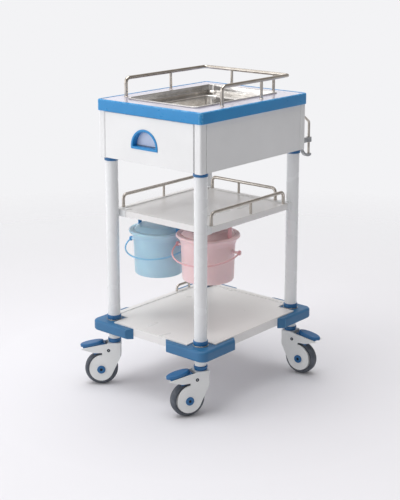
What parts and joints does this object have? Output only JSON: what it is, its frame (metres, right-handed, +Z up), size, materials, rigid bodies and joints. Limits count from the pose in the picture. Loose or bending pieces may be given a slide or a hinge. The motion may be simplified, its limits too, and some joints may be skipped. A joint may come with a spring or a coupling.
{
  "type": "ward treatment trolley",
  "caption": "Ward treatment trolley with a guarded steel tray top, a drawer, two shelves, hanging lidded pails, corner bumpers and braked swivel casters.",
  "frame": {"origin": "on the floor, midway between the four caster swivel axes", "axes": "+Z up, the drawer opens towards -Y, +X to the right as seen from the drawer side"},
  "size_m": [0.55, 0.606, 0.9395],
  "materials": {
    "blue_band": "glossy moulded blue plastic edge",
    "top_board": "glossy pale lavender-grey plastic top",
    "white_steel": "white powder-coated sheet steel",
    "white_tube": "white powder-coated tube",
    "blue_fitting": "blue moulded plastic",
    "blue_bumper": "satin blue soft plastic bumper",
    "polished_steel": "polished stainless steel tube",
    "tray_steel": "bright stainless sheet",
    "caster_white": "white nylon caster housing",
    "grey_tyre": "grey non-marking rubber",
    "rim_white": "white nylon rim",
    "zinc_steel": "zinc plated steel",
    "pail_blue": "pale blue polypropylene",
    "pail_blue_deep": "mid blue polypropylene",
    "pail_pink": "pale pink polypropylene"
  },
  "bodies": {
    "trolley": {"edge_band": "blue_band", "top_panel": "top_board", "corner_posts": "white_steel", "side_panels": "white_steel", "back_panel": "white_steel", "cabinet_floor": "white_steel", "legs": "white_tube", "leg_collars": "blue_fitting", "foot_rings": "polished_steel", "middle_shelf": "white_steel", "shelf_caps": "white_steel", "lower_shelf": "white_steel", "corner_bumpers": "blue_bumper", "top_rail": "polished_steel", "top_rail_posts": "polished_steel", "left_shelf_rail": "polished_steel", "right_shelf_rail": "polished_steel", "back_shelf_rail": "polished_steel", "shelf_loop": "polished_steel", "rear_bracket": "zinc_steel", "rear_clamp": "zinc_steel", "rear_strap": "zinc_steel", "cabinet_runners": "zinc_steel", "caster_stems": "white_tube", "swivel_collars": "blue_fitting", "hook_rods": "zinc_steel"},
    "tray": {"steel_tray": "tray_steel"},
    "drawer": {"drawer_front": "white_steel", "drawer_pull": "blue_fitting", "drawer_body": "white_steel", "drawer_runners": "zinc_steel"},
    "front_left_swivel": {"front_left_fork": "caster_white", "front_left_bolts": "blue_fitting"},
    "front_left_wheel": {"front_left_rim": "rim_white", "front_left_tyre": "grey_tyre"},
    "front_left_brake": {"front_left_pedal": "blue_fitting"},
    "front_right_swivel": {"front_right_fork": "caster_white", "front_right_bolts": "blue_fitting"},
    "front_right_wheel": {"front_right_rim": "rim_white", "front_right_tyre": "grey_tyre"},
    "front_right_brake": {"front_right_pedal": "blue_fitting"},
    "back_right_swivel": {"back_right_fork": "caster_white", "back_right_bolts": "blue_fitting"},
    "back_right_wheel": {"back_right_rim": "rim_white", "back_right_tyre": "grey_tyre"},
    "back_right_brake": {"back_right_pedal": "blue_fitting"},
    "back_left_swivel": {"back_left_fork": "caster_white", "back_left_bolts": "blue_fitting"},
    "back_left_wheel": {"back_left_rim": "rim_white", "back_left_tyre": "grey_tyre"},
    "back_left_brake": {"back_left_pedal": "blue_fitting"},
    "blue_pail": {"blue_pail": "pail_blue", "blue_hanger": "pail_blue_deep"},
    "blue_lid": {"blue_lid": "pail_blue"},
    "blue_bail": {"blue_bail": "pail_blue_deep"},
    "pink_pail": {"pink_pail": "pail_pink", "pink_hanger": "pail_pink"},
    "pink_lid": {"pink_lid": "pail_pink"},
    "pink_bail": {"pink_bail": "pail_pink"}
  },
  "joints": [
    {"name": "tray_lift", "type": "slide", "parent": "trolley", "child": "tray", "axis": [0, 0, 1], "range_m": [0, 0.12]},
    {"name": "drawer_slide", "type": "slide", "parent": "trolley", "child": "drawer", "axis": [0, -1, 0], "range_m": [0, 0.3]},
    {"name": "front_left_swivel_turn", "type": "hinge", "parent": "trolley", "child": "front_left_swivel", "pos_m": [-0.172, -0.216, 0.12], "axis": [0, 0, 1], "continuous": true},
    {"name": "front_left_wheel_spin", "type": "hinge", "parent": "front_left_swivel", "child": "front_left_wheel", "pos_m": [-0.20247, -0.24343, 0.05], "axis": [-0.6691, 0.7431, 0], "continuous": true},
    {"name": "front_left_brake_press", "type": "hinge", "parent": "front_left_swivel", "child": "front_left_brake", "pos_m": [-0.18538, -0.22804, 0.111], "axis": [-0.6691, 0.7431, 0], "range_deg": [0, 8]},
    {"name": "front_right_swivel_turn", "type": "hinge", "parent": "trolley", "child": "front_right_swivel", "pos_m": [0.172, -0.216, 0.12], "axis": [0, 0, 1], "continuous": true},
    {"name": "front_right_wheel_spin", "type": "hinge", "parent": "front_right_swivel", "child": "front_right_wheel", "pos_m": [0.15275, -0.2522, 0.05], "axis": [-0.8829, 0.4695, 0], "continuous": true},
    {"name": "front_right_brake_press", "type": "hinge", "parent": "front_right_swivel", "child": "front_right_brake", "pos_m": [0.16355, -0.23189, 0.111], "axis": [-0.8829, 0.4695, 0], "range_deg": [0, 8]},
    {"name": "back_right_swivel_turn", "type": "hinge", "parent": "trolley", "child": "back_right_swivel", "pos_m": [0.172, 0.216, 0.12], "axis": [0, 0, 1], "continuous": true},
    {"name": "back_right_wheel_spin", "type": "hinge", "parent": "back_right_swivel", "child": "back_right_wheel", "pos_m": [0.2126, 0.22171, 0.05], "axis": [0.1392, -0.9903, 0], "continuous": true},
    {"name": "back_right_brake_press", "type": "hinge", "parent": "back_right_swivel", "child": "back_right_brake", "pos_m": [0.18982, 0.21851, 0.111], "axis": [0.1392, -0.9903, 0], "range_deg": [0, 8]},
    {"name": "back_left_swivel_turn", "type": "hinge", "parent": "trolley", "child": "back_left_swivel", "pos_m": [-0.172, 0.216, 0.12], "axis": [0, 0, 1], "continuous": true},
    {"name": "back_left_wheel_spin", "type": "hinge", "parent": "back_left_swivel", "child": "back_left_wheel", "pos_m": [-0.2082, 0.23525, 0.05], "axis": [0.4695, 0.8829, 0], "continuous": true},
    {"name": "back_left_brake_press", "type": "hinge", "parent": "back_left_swivel", "child": "back_left_brake", "pos_m": [-0.18789, 0.22445, 0.111], "axis": [0.4695, 0.8829, 0], "range_deg": [0, 8]},
    {"name": "blue_pail_slide", "type": "slide", "parent": "trolley", "child": "blue_pail", "axis": [0, 1, 0], "range_m": [0, 0.2]},
    {"name": "blue_lid_lift", "type": "slide", "parent": "blue_pail", "child": "blue_lid", "axis": [0, 0, 1], "range_m": [0, 0.018]},
    {"name": "blue_bail_swing", "type": "hinge", "parent": "blue_pail", "child": "blue_bail", "pos_m": [-0.095, -0.098, 0.434], "axis": [-0.9781, -0.2079, 0], "range_deg": [-22, 12]},
    {"name": "pink_pail_slide", "type": "slide", "parent": "trolley", "child": "pink_pail", "axis": [0, 1, 0], "range_m": [0, 0.045]},
    {"name": "pink_lid_lift", "type": "slide", "parent": "pink_pail", "child": "pink_lid", "axis": [0, 0, 1], "range_m": [0, 0.018]},
    {"name": "pink_bail_swing", "type": "hinge", "parent": "pink_pail", "child": "pink_bail", "pos_m": [0.094, -0.091, 0.45], "axis": [-0.9781, -0.2079, 0], "range_deg": [-22, 34]}
  ]
}
